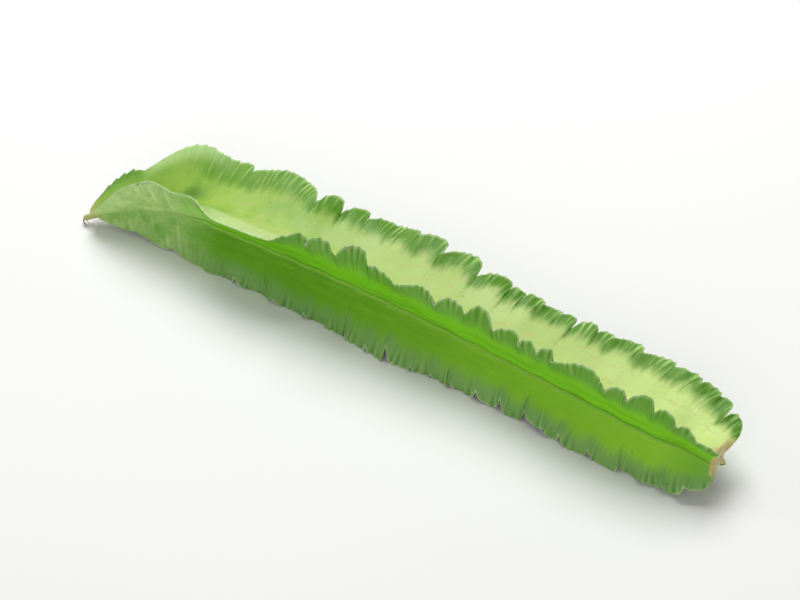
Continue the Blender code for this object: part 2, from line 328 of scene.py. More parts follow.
def frill(s, wing):
    """Everything that a wing's edge does at s, in shares of its width and in metres. From notch to notch,
    width and shift follow powers of half a sine wave, the pleats a sine wave with about one turn for each
    pleat, and the spread and the tilt one full sine wave."""
    ends, depth, height, fold = np.array(((0, NOTCH_AT_TIP, 0, 0), *wing["lobes"])).T
    ends = ends * STEP
    lobe = np.searchsorted(ends, s, side="right")
    length = ends[lobe] - ends[lobe - 1]
    along = ((s - ends[lobe - 1]) / length) ** LOBE_SKEW
    bump = np.sin(np.pi * along)
    deep = depth[lobe - 1] * (1 - along) + depth[lobe] * along
    size = smooth(s, *wing["frill"])
    sway = 1 + SWAY * np.cos(2 * np.pi * (s - wing["widest"]) / SWAY_PITCH)
    lean = np.sign(wing["curl"]) * size
    draw = np.random.default_rng(wing["at"])
    tilt = draw.uniform(-1, 1, size=len(ends))[lobe]
    phases = draw.uniform(0, 2 * np.pi, size=len(WANDER_PITCHES))
    wander = sum(np.cos(2 * np.pi * s / pitch + phase) for pitch, phase in zip(WANDER_PITCHES, phases))
    drift, swell = [np.cos(2 * np.pi * s / pitch + phases[0]) for pitch in PLEAT_PITCHES]
    turn = 2 * np.pi * along * np.round(length / PLEAT) + PLEAT_DRIFT * drift
    gathered = size * (PLEAT_VARIES[0] + PLEAT_VARIES[1] * swell)
    teeth = 1 + TOOTH * gathered * np.cos(turn)
    return {
        "width": sway * (1 - deep * (1 - bump**LOBE_BLUNT) + height[lobe] * bump) * teeth,
        "shift": lean * ((NOTCH_ASIDE + fold[lobe] * MM) * bump**LOBE_FOLD - NOTCH_ASIDE),
        "pleat": np.sin(turn) * gathered * np.sqrt(bump),
        "spread": -FAN * size * np.sin(2 * np.pi * along),
        "tilt": size * (LEAN_OVER * tilt * np.sin(2 * np.pi * along) + WANDER * wander),
        "roll": ROLL * lean * bump,
    }


def stretch(s, starts, full, fades, ends):
    """1 between full and fades, 0 outside starts and ends, and an even rise and fall."""
    return smooth(s, starts, full) * (1 - smooth(s, fades, ends))


def curl(s, wing):
    """How far a wing's edge bends aside: evenly, but further at the head and the other way along the lip
    behind it, on the wing that has one."""
    return wing["curl"] + wing["lip"] * (stretch(s, *LIP) - HEAD_LEAN * stretch(s, *HEAD))


def crest_teeth(s):
    """Small saw teeth on the rear wing, above the beak and on its crest: the share of each pitch that has
    passed, times a size that fades in and out."""
    size = sum(size * stretch(s, *where) for size, where in CREST_TEETH)
    return size * ((s / CREST_PITCH) % 1)


print("lobes of each wing:", [len(wing["lobes"]) for wing in WINGS])

# %% [markdown]
# ## The skin's mesh
#
# One closed loop of points runs round each section: out along one side of a wing, back along the other,
# over the hollow face to the next wing, and so on round the star. The same number of points lies in every
# loop, so the loops join into one grid of quads. The real wing thins to a soft edge of a few tenths of a
# millimetre, which the solid can't have and the skin does.

# %% Points of the wings and faces
ACROSS_WING = np.array([0, 0.16, 0.32, 0.46, 0.59, 0.7, 0.8, 0.89, 0.96, 1])
ACROSS_FACE = np.array([0.12, 0.26, 0.39, 0.46, 0.5, 0.54, 0.61, 0.74, 0.88])
EDGE_THINS = 0.62
EDGE_THINS_POWER = 5
EASED = 0.6
EASE_ROUNDS = 5
EASED_ON_WING = 0.5
EASED_ON_FACE = (0.12, 0.2)
SEAM_HALF = 0.045
SEAM_GROOVE = 0.16 * MM
SEAM_GROOVE_AT = 0.11


def wing_sides(wing, s):
    """The two faces of a wing, as grids of sections by points from root to edge: the middle surface, which is
    a straight line out from the axis plus powers of the way across times each bend, plus and minus half a
    thickness along its own normal."""
    along, side, up = section_axes(s)
    out = towards(wing["at"], side, up)[:, None]
    aside = towards(wing["at"] + 90, side, up)[:, None]
    edge_does = frill(s, wing)
    share = wing_share(s, *wing["span"], wing["blunt"])
    body = core(s)
    start = WING_FROM[1] + (WING_FROM[0] - WING_FROM[1]) * bareness(s)
    teeth = 1 + (crest_teeth(s) if wing is WINGS[0] else 0)
    edge = start * body + WING * wing["width"] * share * edge_does["width"] * teeth
    root = np.minimum(ROOT_AT * body, (edge + ROOT_WHERE_BARE * body) / 2)
    across = ACROSS_WING
    height = root[:, None] + (edge - root)[:, None] * across
    bend = (edge_does["shift"] * share)[:, None] * across**FRILL_POWER
    bend += (curl(s, wing) * share)[:, None] * across**CURL_POWER
    bend += (edge_does["roll"] * share)[:, None] * across**ROLL_POWER
    bend += (PLEAT_FOLD * edge_does["pleat"] * share)[:, None] * across**PLEAT_POWER
    bend += (edge_does["tilt"] * share)[:, None] * across**FRILL_POWER
    overhang = BASE_OVERHANG * (share * smooth(s, OVERHANG_FROM, WING_ENDS))[:, None] * across**OVERHANG_POWER
    overhang += (edge_does["spread"] * share)[:, None] * across**CURL_POWER
    middle = (
        middle_line(s)[:, None]
        + out * height[..., None]
        + aside * bend[..., None]
        + along[:, None] * overhang[..., None]
    )
    half = np.maximum(body[:, None] ** 2 / (2 * height) * (1 - BLADE_THINS * across), BLADE_HALF)
    half = half * (1 - EDGE_THINS * across**EDGE_THINS_POWER)
    middle[..., 2] = np.maximum(middle[..., 2], half)
    normal = unit(np.cross(np.gradient(middle, axis=0), np.gradient(middle, axis=1)))
    return middle - normal * half[..., None], middle + normal * half[..., None]


def face_between(near, far, s, at, seam):
    """The body's surface between two wings: a parabola through three points, plus a narrow bell curve for the
    seam and a shallow groove on each side of it."""
    _, side, up = section_axes(s)
    out = towards(at, side, up)
    control = middle_line(s) + out * ((FACE_HEIGHT + ROUNDER * bareness(s)) * core(s))[:, None]
    t = ACROSS_FACE[:, None]
    points = (1 - t) ** 2 * near[:, None] + 2 * t * (1 - t) * control[:, None] + t**2 * far[:, None]
    off = np.abs(ACROSS_FACE - 0.5)
    ridge = seam * np.exp(-((off / SEAM_HALF) ** 2)) - (seam > 0) * SEAM_GROOVE * np.exp(
        -(((off - SEAM_GROOVE_AT) / SEAM_HALF) ** 2)
    )
    return points + out[:, None] * (ridge * smooth(s, *BEAK_GROWS)[:, None])[..., None]


def eased(loops, strength, rounds):
    """Each point moved part of the way to the middle of its two neighbours in the loop, a few times over."""
    for _ in range(rounds):
        middle = (np.roll(loops, 1, axis=1) + np.roll(loops, -1, axis=1)) / 2
        loops = loops + (middle - loops) * strength[None, :, None]
    return loops


# %% [markdown]
# Every point also carries a few numbers for the material: how far out on a wing it is, which face of the pod
# it belongs to, how far along the pod and how far from its axis it lies in millimetres, and the pleat that it
# lies on. They could be painted by hand, but the formulas already know them exactly.

# %% The whole skin as one grid
REACH_AT_ROOT = 0.34
HALF_TURNS = 0.1
# The stretch along the pod of the fold behind the head, where the material paints shade.
SHADED_HOLLOW = (17 * MM, 22 * MM, 30 * MM, 38 * MM)


def side_marks(i, s, sign):
    """What one side of wing i carries to its material, as grids: its reach from the body to the edge, its
    face's number, the pleat's height, which half of its face it is in, and whether it is in the lip and in
    the fold."""
    across = ACROSS_WING
    edge_does = frill(s, WINGS[i])
    face = i if sign > 0 else (i - 1) % 4
    reach = np.broadcast_to(REACH_AT_ROOT + (1 - REACH_AT_ROOT) * across, (len(s), len(across)))
    pleat = edge_does["pleat"][:, None] * across**PLEAT_POWER * sign
    return {
        "reach": reach,
        "face": np.full(reach.shape, face),
        "pleat": pleat,
        "half": np.full(reach.shape, -sign),
        "lip": (stretch(s, *LIP) * (WINGS[i]["lip"] > 0))[:, None] * np.ones(reach.shape),
        # the fold behind the head, where the material paints shade
        "fold": (stretch(s, *SHADED_HOLLOW) * (face == 0))[:, None] * np.ones(reach.shape),
    }


def face_marks(i, s):
    """What face i carries, from its first wing to its second, as side_marks does. half goes from -1 to 1
    across the face's middle."""
    off = ACROSS_FACE - 0.5
    reach = np.broadcast_to(np.abs(off) * 2 * REACH_AT_ROOT, (len(s), len(off)))
    return {
        "reach": reach,
        "face": np.full(reach.shape, i),
        "pleat": np.zeros(reach.shape),
        "half": np.broadcast_to(np.clip(off / HALF_TURNS, -1, 1), reach.shape),
        "lip": np.zeros(reach.shape),
        "fold": (stretch(s, *SHADED_HOLLOW) * (i == 0))[:, None] * np.ones(reach.shape),
    }


def pod_grid():
    """All loops as one array of sections by points, and the marks of every point."""
    sides = [wing_sides(wing, s) for wing in WINGS]
    loops, marks, ease = [], [], []
    for i, wing in enumerate(WINGS):
        after = (i + 1) % len(WINGS)
        right, left = sides[i]
        at = wing["at"] + (WINGS[after]["at"] - wing["at"]) % 360 / 2
        face = face_between(left[:, 0], sides[after][0][:, 0], s, at, SEAM * (i % 2))
        loops += [right, left[:, ::-1], face]
        back = {name: values[:, ::-1] for name, values in side_marks(i, s, 1).items()}
        marks += [side_marks(i, s, -1), back, face_marks(i, s)]
        near_root = np.clip(1 - ACROSS_WING / EASED_ON_WING, 0, 1)
        on_face = np.clip((np.abs(ACROSS_FACE - 0.5) - EASED_ON_FACE[0]) / EASED_ON_FACE[1], 0, 1)
        ease += [near_root, near_root[::-1], on_face]
    points = eased(np.concatenate(loops, axis=1), EASED * np.concatenate(ease), EASE_ROUNDS)
    points[..., 2] = np.maximum(points[..., 2], 0)
    joined = {name: np.concatenate([mark[name] for mark in marks], axis=1) for name in marks[0]}
    return points, joined


points, marks = pod_grid()
print("grid:", points.shape[:2], "quads:", (points.shape[0] - 1) * points.shape[1])

# %% Close both ends
CAP_RINGS = 9
BEAK_POINT = 1.0 * MM
STALK_BULGE = 0.7 * MM
SCAR_SINKS = 0.9 * MM
SCAR_FROM = LENGTH + 2 * MM


def end_rings(ring, direction, bulge, sinks):
    """Rings that shrink evenly to the middle of the given one: first a quarter circle outwards, and then back
    in by a cube of the way. Also the point in the middle."""
    inward = (np.arange(1, CAP_RINGS + 1) / CAP_RINGS)[:, None, None]
    middle = ring.mean(axis=0)
    out = bulge * np.sqrt(1 - (1 - inward) ** 2) - sinks * inward**3
    rings = ring + (middle - ring) * inward + direction * out
    return rings[:-1], rings[-1, 0]


along, _, _ = section_axes(s)
beak_rings, beak_pole = end_rings(points[0], -along[0], BEAK_POINT, 0)
scar_rings, scar_pole = end_rings(points[-1], along[-1], STALK_BULGE, SCAR_SINKS)
beak_rings = beak_rings[::-1]
grid = np.concatenate([beak_rings, points, scar_rings])
poles = np.array([beak_pole, scar_pole])
for name in marks:
    first = np.repeat(marks[name][:1], len(beak_rings), axis=0)
    last = np.repeat(marks[name][-1:], len(scar_rings), axis=0)
    marks[name] = np.concatenate([first, marks[name], last])
left = 1 - np.arange(1, CAP_RINGS) / CAP_RINGS
marks["reach"][-len(scar_rings) :] *= left[:, None]
place = np.concatenate([np.zeros(len(beak_rings)), s, np.full(len(scar_rings), SCAR_FROM)])
print("rings with both ends closed:", len(grid))

# %% Make the mesh


def closed_mesh(name, grid, poles):
    """A mesh of quads through a grid whose rows are closed rings, with a fan of triangles to a pole at each
    end. If the signed volume of its corners is negative, all faces are turned round."""
    rows, count = grid.shape[:2]
    index = np.arange(rows * count).reshape(rows, count)
    turned = np.roll(index, -1, axis=1)
    quads = np.stack([index[:-1], index[1:], turned[1:], turned[:-1]], axis=-1).reshape(-1, 4)
    first, last = rows * count, rows * count + 1
    fans = np.concatenate(
        [
            np.stack([index[0], turned[0], np.full(count, first)], axis=-1),
            np.stack([turned[-1], index[-1], np.full(count, last)], axis=-1),
        ]
    )
    vertices = np.concatenate([grid.reshape(-1, 3), poles])
    corners = vertices[np.concatenate([quads[:, [0, 1, 2]], quads[:, [0, 2, 3]], fans])]
    volume = np.einsum("ij,ij->i", corners[:, 0], np.cross(corners[:, 1], corners[:, 2])).sum()
    if volume < 0:
        quads, fans = quads[:, ::-1], fans[:, ::-1]
    mesh = bpy.data.meshes.new(name)
    mesh.from_pydata(vertices, [], quads.tolist() + fans.tolist())
    mesh.polygons.foreach_set("use_smooth", np.ones(len(mesh.polygons), dtype=bool))
    mesh.update()
    return mesh


def point_mark(mesh, name, values, at_poles):
    """Stores one number for each point of the mesh."""
    layer = mesh.attributes.new(name, "FLOAT", "POINT")
    layer.data.foreach_set("value", np.append(values.reshape(-1), at_poles).astype(np.float32))


def piece(name, mesh):
    """An object for the mesh, at the origin, that moves with the pod."""
    made = bpy.data.objects.new(name, mesh)
    bpy.context.scene.collection.objects.link(made)
    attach(made, "root")
    return made


skin_mesh = closed_mesh("pod_skin", grid, poles)
from_axis = np.linalg.norm(grid - middle_line(place)[:, None], axis=-1)
point_mark(skin_mesh, "along_mm", np.broadcast_to(place[:, None] / MM, grid.shape[:2]), [0, SCAR_FROM / MM])
point_mark(skin_mesh, "across_mm", from_axis / MM, [0, 0])
point_mark(skin_mesh, "reach", marks["reach"], [0, 0])
point_mark(skin_mesh, "half", marks["half"], [0, 0])
point_mark(skin_mesh, "pleat", marks["pleat"], [0, 0])
point_mark(skin_mesh, "lip", marks["lip"], [0, 0])
# fold marks the hollow behind the head, where the material paints shade
point_mark(skin_mesh, "fold", marks["fold"], [0, 0])
point_mark(skin_mesh, "pale_face", (marks["face"] % 2 == 0).astype(float), [0, 0])
pod_skin = piece("pod_skin", skin_mesh)
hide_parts("pod")
print("faces:", len(skin_mesh.polygons))

# %% [markdown]
# ## The dried style
#
# At the very tip hangs what is left of the flower: a withered style with a few hairs, dark and curled. Hair
# particles would be lost when the model is exported, so each is a thin tube along a curved path that tapers
# to a point.

# %% Tubes along paths
THREAD_SIDES = 6
THREAD_POINTS = 22
THREAD_END = 0.25
THREAD_ROOT = 0.6 * MM
THREAD_CLEARS = 0.3 * MM
NO_THREAD_POINTS_HERE = (0.1, 0.2, 1)


def tube(path, radius):
    """Rings round a path: at each point, a circle across the path's direction, with its own radius."""
    along = unit(np.gradient(path, axis=0))
    side = unit(np.cross(along, NO_THREAD_POINTS_HERE))
    up = np.cross(along, side)
    angle = np.linspace(0, 2 * np.pi, THREAD_SIDES, endpoint=False)[None, :, None]
    circle = side[:, None] * np.cos(angle) + up[:, None] * np.sin(angle)
    return path[:, None] + circle * radius[:, None, None]


def thread_path(start, heading, turned, length):
    """A curve of the given length whose direction turns evenly from heading to turned."""
    t = np.linspace(0, 1, THREAD_POINTS)[:, None]
    direction = unit(np.array(heading) * (1 - t) + np.array(turned) * t)
    return start + np.cumsum(direction, axis=0) * length / THREAD_POINTS


THREADS = (
    ("style_stub", (-0.7, -0.05, -0.7), (1.0, -0.1, -0.5), 4.4 * MM, 0.26 * MM),
    ("style_hair_1", (0.1, 0.1, -1.0), (1.0, 0.3, -0.2), 4.2 * MM, 0.11 * MM),
    ("style_hair_2", (-0.4, -0.3, -0.9), (0.9, -0.2, 0.3), 3.6 * MM, 0.10 * MM),
    ("style_hair_3", (-0.6, 0.1, -0.6), (0.2, 0.6, -0.6), 3.0 * MM, 0.09 * MM),
)
tip = poles[0] + along[0] * THREAD_ROOT
threads = []
for name, heading, turned, length, thickness in THREADS:
    path = thread_path(tip, heading, turned, length)
    path[:, 2] = np.maximum(path[:, 2], THREAD_CLEARS)
    rings = tube(path, thickness * np.linspace(1, THREAD_END, THREAD_POINTS))
    threads.append(piece(name, closed_mesh(name, rings, path[[0, -1]])))
print("threads:", [thread.name for thread in threads])

# %% [markdown]
# ## Materials
#
# Fresh skin is a soft green that isn't even: faint patches, fine veins that run out to the edge of each wing,
# and a whitish bloom. An image could hold that, but noise keeps its detail at any size. Two effects are used
# by more than one material, so each is a node group: patches, and specks.

# %% Helpers for nodes


def node(tree, kind, inputs=(), **settings):
    """One new node. Each pair in inputs is a socket's name or number, and a socket to link or a value to
    set."""
    made = tree.nodes.new(kind)
    for name, value in settings.items():
        setattr(made, name, value)
    for key, value in inputs:
        if isinstance(value, bpy.types.NodeSocket):
            tree.links.new(value, made.inputs[key])
        else:
            made.inputs[key].default_value = value
    return made


def mark(tree, name):
    """The number that the mesh stores under this name."""
    return node(tree, "ShaderNodeAttribute", attribute_name=name).outputs["Fac"]


def ramp(tree, value, low, high, shape="SMOOTHSTEP"):
    """0 where value is below low, 1 where it is above high, and a rise between. low may be the larger one."""
    inputs = (("Value", value), ("From Min", low), ("From Max", high))
    return node(tree, "ShaderNodeMapRange", inputs, interpolation_type=shape).outputs["Result"]


def between(tree, value, low, high):
    """A value from 0 to 1, stretched evenly to run from low to high."""
    inputs = (("Value", value), ("To Min", low), ("To Max", high))
    return node(tree, "ShaderNodeMapRange", inputs).outputs["Result"]


def math(tree, operation, *values):
    """One step of arithmetic on numbers and sockets."""
    return node(tree, "ShaderNodeMath", tuple(enumerate(values)), operation=operation).outputs[0]


def plus(tree, first, second):
    """The sum of two values."""
    return math(tree, "ADD", first, second)


def minus(tree, first, second):
    """The first value less the second."""
    return math(tree, "SUBTRACT", first, second)


def times(tree, first, *others):
    """All the values multiplied."""
    for other in others:
        first = math(tree, "MULTIPLY", first, other)
    return first


def mix(tree, share, first, second):
    """The first colour where share is 0 and the second where it is 1."""
    return node(tree, "ShaderNodeMix", ((0, share), (6, first), (7, second)), data_type="RGBA").outputs[2]


def noise(tree, vector, scale):
    """Soft noise from 0 to 1."""
    return node(tree, "ShaderNodeTexNoise", (("Vector", vector), ("Scale", scale))).outputs["Fac"]


def new_group(name, inputs, outputs):
    """An empty node group: its tree, its input node and its output node."""
    tree = bpy.data.node_groups.new(name, "ShaderNodeTree")
    for label, kind, value in inputs:
        socket = tree.interface.new_socket(label, in_out="INPUT", socket_type=kind)
        socket.default_value = value
    for label, kind in outputs:
        tree.interface.new_socket(label, in_out="OUTPUT", socket_type=kind)
    return tree, tree.nodes.new("NodeGroupInput"), tree.nodes.new("NodeGroupOutput")


def new_material(name):
    """A material and its node tree, Principled shader and object coordinates."""
    material = bpy.data.materials.new(name)
    material.use_nodes = True
    tree = material.node_tree
    shader = tree.nodes["Principled BSDF"]
    return material, tree, shader, tree.nodes.new("ShaderNodeTexCoord").outputs["Object"]


# %% Shared effects: specks and patches
SPECK_NOISE = 700.0
SPECK_BENT = 0.3
SPECK_EDGE = (0.42, 0.24)
PATCHES_FINER = 5.0
PATCHES_BROAD_SHARE = 0.7
PATCHES_SPREAD = (0.38, 0.62)


def specks_group():
    """Small spots: the middle of Voronoi cells, bent by noise, and kept only in those cells whose own random
    value is under the share."""
    tree, given, result = new_group(
        "specks",
        (("Size", "NodeSocketFloat", 900.0), ("Share", "NodeSocketFloat", 0.1)),
        (("Mask", "NodeSocketFloat"),),
    )
    coordinates = tree.nodes.new("ShaderNodeTexCoord").outputs["Object"]
    bent = times(tree, noise(tree, coordinates, SPECK_NOISE), SPECK_BENT)
    inputs = (("Vector", coordinates), ("Scale", given.outputs["Size"]))
    cells = node(tree, "ShaderNodeTexVoronoi", inputs)
    spot = ramp(tree, plus(tree, cells.outputs["Distance"], bent), *SPECK_EDGE)
    random = node(tree, "ShaderNodeSeparateColor", ((0, cells.outputs["Color"]),)).outputs[0]
    kept = math(tree, "LESS_THAN", random, given.outputs["Share"])
    tree.links.new(times(tree, spot, kept), result.inputs["Mask"])
    return tree


def patches_group():
    """Soft patches: broad and fine noise added, each in its share, and spread to fill 0 to 1."""
    tree, given, result = new_group(
        "patches", (("Size", "NodeSocketFloat", 60.0),), (("Mask", "NodeSocketFloat"),)
    )
    coordinates = tree.nodes.new("ShaderNodeTexCoord").outputs["Object"]
    broad = noise(tree, coordinates, given.outputs["Size"])
    fine = noise(tree, coordinates, times(tree, given.outputs["Size"], PATCHES_FINER))
    fine = times(tree, fine, 1 - PATCHES_BROAD_SHARE)
    both = plus(tree, times(tree, broad, PATCHES_BROAD_SHARE), fine)
    tree.links.new(ramp(tree, both, *PATCHES_SPREAD), result.inputs["Mask"])
    return tree


specks = specks_group()
patches = patches_group()


def effect(tree, group, **values):
    """One use of a shared effect in a material, with its own values."""
    made = tree.nodes.new("ShaderNodeGroup")
    made.node_tree = group
    for name, value in values.items():
        made.inputs[name].default_value = value
    return made.outputs["Mask"]


print("shared effects:", specks.name, patches.name)

# %% [markdown]
# ### The green skin
#
# The colour is laid on in the order that a painter would use: the ground colour of each face with the darker
# margin of the wings and painted shade on the second half of each green face, the bloomy head with painted
# light on the first half of each face, painted shade in the hollow behind it, the seam, the veins, painted
# highlights and shade on the pleats, and last the pale rim, the blemishes and the dried ends. One long recipe
# of nodes would do, but a function for each layer is easier to follow: it takes the colour so far and gives
# it back with one more thing on it. The marks on the mesh say where each layer belongs. Most pairs of numbers
# are the two ends of a ramp, in the mark that the ramp reads. For streaks they are the scales across the pod
# and along it, in millimetres.

# %% What the layers read
MARKS = ("reach", "half", "along_mm", "across_mm", "pale_face", "lip", "fold", "pleat")
SOFT_SIZE = 45.0
FINE_SIZE = 240.0
LINES = (14.0, 0.55)
WIDE_LINES = (9.0, 2.2)
OUTER_REACH = (0.45, 0.9)
BLOOM_SHARE = 0.18


def streaks(tree, along_mm, across_mm, across_scale, pitch):
    """Noise in the distances along the pod and from its axis, stretched: in lines out to the edge of a wing
    where the pitch is the small one, and in lines along the pod where the other is."""
    along = math(tree, "DIVIDE", along_mm, pitch)
    across = math(tree, "DIVIDE", across_mm, across_scale)
    return noise(tree, node(tree, "ShaderNodeCombineXYZ", ((0, along), (1, across))).outputs[0], 1.0)


def read_skin(tree):
    """The marks on the mesh, and the patches, lines and bloom that several layers use."""
    skin = SimpleNamespace(**{name: mark(tree, name) for name in MARKS})
    skin.soft = effect(tree, patches, Size=SOFT_SIZE)
    skin.fine = effect(tree, patches, Size=FINE_SIZE)
    skin.lines = streaks(tree, skin.along_mm, skin.across_mm, *LINES)
    skin.wide_lines = streaks(tree, skin.along_mm, skin.across_mm, *WIDE_LINES)
    skin.outer = ramp(tree, skin.reach, *OUTER_REACH)
    skin.bloom = times(tree, skin.soft, skin.outer, BLOOM_SHARE)
    return skin


print("marks:", ", ".join(MARKS))

# %% Green faces
VIVID = (0.19, 0.60, 0.003, 1)
# Painted shade: the deeper green of each green face's second half, the lower one on the front face.
SHADED_GREEN = (0.13, 0.37, 0.004, 1)
SHADED_HALF = (-0.5, 0.9)
SHADE_WAVERS = 0.3
DEEP_GREEN = (0.08, 0.27, 0.003, 1)
LIGHT_GREEN = (0.32, 0.70, 0.02, 1)
NEAR_BODY = (0.62, 0.36)
GRAIN_BREAKS = 3.0
GRAIN = (1.5, 26.0)
GRAIN_IS_DARK = (0.56, 0.40)
GRAIN_DARKENS = 0.35
FINE_GRAIN = (0.45, 9.0)
GRAIN_IS_LIGHT = (0.54, 0.70)
GRAIN_LIGHTENS = 0.30
BASE_GREEN = (0.30, 0.64, 0.025, 1)
TO_BASE_MM = (70.0, 204.0)
BASE_HALF = (-1.6, 0.6)
END_GREEN = (0.13, 0.37, 0.05, 1)
TO_END_MM = (188.0, 206.0)
END_HALF = (0.0, 0.8)
END_SHARE = 0.7
MARGIN = (0.13, 0.37, 0.018, 1)
LOW_MARGIN = (0.165, 0.365, 0.08, 1)
LOW_HALF = (-0.2, 0.6)
MARGIN_REACH = (0.60, 0.92)
MARGIN_WAVERS = 0.14


def green_ground(tree, skin):
    """Vivid green in the first half of each green face and a deeper green, painted shade, in the second, with
    grain along the body, lighter towards the base, and a duller margin."""
    # painted shade over the second half of the face
    below = ramp(tree, plus(tree, skin.half, times(tree, skin.soft, SHADE_WAVERS)), *SHADED_HALF)
    green = mix(tree, below, VIVID, SHADED_GREEN)
    near_body = ramp(tree, skin.reach, *NEAR_BODY)
    sided = plus(tree, skin.across_mm, times(tree, skin.half, GRAIN_BREAKS))
    darker = ramp(tree, streaks(tree, skin.along_mm, sided, *GRAIN), *GRAIN_IS_DARK)
    green = mix(tree, times(tree, darker, near_body, GRAIN_DARKENS), green, DEEP_GREEN)
    lighter = ramp(tree, streaks(tree, skin.along_mm, sided, *FINE_GRAIN), *GRAIN_IS_LIGHT)
    green = mix(tree, times(tree, lighter, near_body, GRAIN_LIGHTENS), green, LIGHT_GREEN)
    to_base = ramp(tree, skin.along_mm, *TO_BASE_MM, shape="LINEAR")
    green = mix(tree, times(tree, to_base, ramp(tree, skin.half, *BASE_HALF)), green, BASE_GREEN)
    to_end = times(tree, ramp(tree, skin.along_mm, *TO_END_MM), ramp(tree, skin.half, *END_HALF), END_SHARE)
    green = mix(tree, to_end, green, END_GREEN)
    uneven = plus(tree, skin.reach, times(tree, skin.wide_lines, MARGIN_WAVERS))
    margin_colour = mix(tree, ramp(tree, skin.half, *LOW_HALF), MARGIN, LOW_MARGIN)
    return mix(tree, ramp(tree, uneven, *MARGIN_REACH), green, margin_colour)


print("green grain:", GRAIN[1], "and", FINE_GRAIN[1], "mm long")

# %% Pale faces
PALE = (0.42, 0.57, 0.165, 1)
PALE_BASE = (0.56, 0.73, 0.23, 1)
PALE_BASE_MM = (140.0, 196.0)
PALE_MARGIN = (0.08, 0.235, 0.008, 1)
PALE_MARGIN_REACH = (0.73, 0.99)
PALE_MARGIN_WAVERS = 0.36
PALE_MARGIN_MM = (20.0, 34.0)
WIDER = 0.16
WIDER_FROM_MM = (28.0, 34.0)
WIDER_TO_MM = (54.0, 42.0)


def pale_margin(tree, skin):
    """Where the dark margin of the pale faces lies: out towards the edge, fanned out by the wide lines, wider
    for a stretch behind the head, and neither on the lip nor at the beak."""
    wider = times(tree, ramp(tree, skin.along_mm, *WIDER_FROM_MM), ramp(tree, skin.along_mm, *WIDER_TO_MM))
    fanned = times(tree, skin.wide_lines, PALE_MARGIN_WAVERS)
    uneven = plus(tree, skin.reach, plus(tree, times(tree, wider, WIDER), fanned))
    margin = times(tree, ramp(tree, uneven, *PALE_MARGIN_REACH), minus(tree, 1.0, skin.lip))
    return times(tree, margin, ramp(tree, skin.along_mm, *PALE_MARGIN_MM))


def pale_ground(tree, skin):
    """Pale green that is lighter towards the base, with the dark margin."""
    pale = mix(tree, ramp(tree, skin.along_mm, *PALE_BASE_MM), PALE, PALE_BASE)
    return mix(tree, skin.pale_margin, pale, PALE_MARGIN)


print("pale faces are lightest from", PALE_BASE_MM[1], "mm on")

# %% The head
HEAD_MM = (58.0, 28.0)
HEAD_WAVERS = 14.0
PALE_HEAD_MM = (98.0, 50.0)
PALE_HEAD_WAVERS = 24.0
HEAD_SHARE = 0.9
HEAD_GREEN = (0.20, 0.47, 0.07, 1)
HEAD_BLOOM = (0.58, 0.76, 0.30, 1)
SOFT_MOTTLES = 0.5
FINE_MOTTLES = 0.4
HEAD_VEINS = (0.54, 0.70)
HEAD_VEINS_REACH = (0.05, 0.5)
HEAD_VEINS_SHARE = 0.45
# Painted light: the head is lighter on each face's first half, the upper one on the front face.
PAINTED_LIGHT_ABOVE = 0.2
HEAD_PALE = (0.20, 0.41, 0.045, 1)
HEAD_YELLOW = (0.27, 0.46, 0.045, 1)
HEAD_MARGIN_SHARE = 0.7


def head_share(tree, skin):
    """Where the head's own colours lie: up to an uneven end that is further from the beak on the pale
    faces."""
    green = ramp(tree, plus(tree, skin.along_mm, times(tree, skin.soft, HEAD_WAVERS)), *HEAD_MM)
    pale = ramp(tree, plus(tree, skin.along_mm, times(tree, skin.soft, PALE_HEAD_WAVERS)), *PALE_HEAD_MM)
    return math(tree, "MAXIMUM", green, times(tree, pale, skin.pale_face))


def lay_head(tree, skin, colour):
    """Bloom in mottles and veins on the green faces, with more of it on each face's first half as painted
    light, and yellower green on the pale ones.
    """
    mottled = plus(tree, times(tree, skin.soft, SOFT_MOTTLES), times(tree, skin.fine, FINE_MOTTLES))
    veins = times(tree, ramp(tree, skin.wide_lines, *HEAD_VEINS), ramp(tree, skin.reach, *HEAD_VEINS_REACH))
    mottled = plus(tree, mottled, times(tree, veins, HEAD_VEINS_SHARE))
    # painted light: more bloom on the first half of the face
    mottled = minus(tree, mottled, times(tree, skin.half, PAINTED_LIGHT_ABOVE))
    green = mix(tree, mottled, HEAD_GREEN, HEAD_BLOOM)
    pale = mix(tree, skin.soft, HEAD_PALE, HEAD_YELLOW)
    pale = mix(tree, times(tree, skin.pale_margin, HEAD_MARGIN_SHARE), pale, PALE_MARGIN)
    both = mix(tree, skin.pale_face, green, pale)
    return mix(tree, times(tree, skin.head, HEAD_SHARE), colour, both)


print("the head fades out by", HEAD_MM[0], "mm, on the pale faces by", PALE_HEAD_MM[0], "mm")

# %% Painted shade in the hollow, and the crest
# Painted shade for the deep fold behind the head: a dark green laid into the colour.
HOLLOW_SHADE_GREEN = (0.045, 0.15, 0.018, 1)
HOLLOW_SHADE_REACH = (0.66, 0.24)
HOLLOW_SHADE_WAVERS = 0.2
HOLLOW_SHADE_SHARE = 0.65
CREST_BLOOM = (0.48, 0.68, 0.30, 1)
CREST_REACH = (0.72, 0.95)
CREST_FROM_MM = (13.0, 19.0)
CREST_TO_MM = (39.0, 28.0)
CREST_SHARE = 0.6
BEAK_EDGE = (0.085, 0.24, 0.02, 1)
BEAK_EDGE_MM = (18.0, 12.0)
BEAK_EDGE_SHARE = 0.75


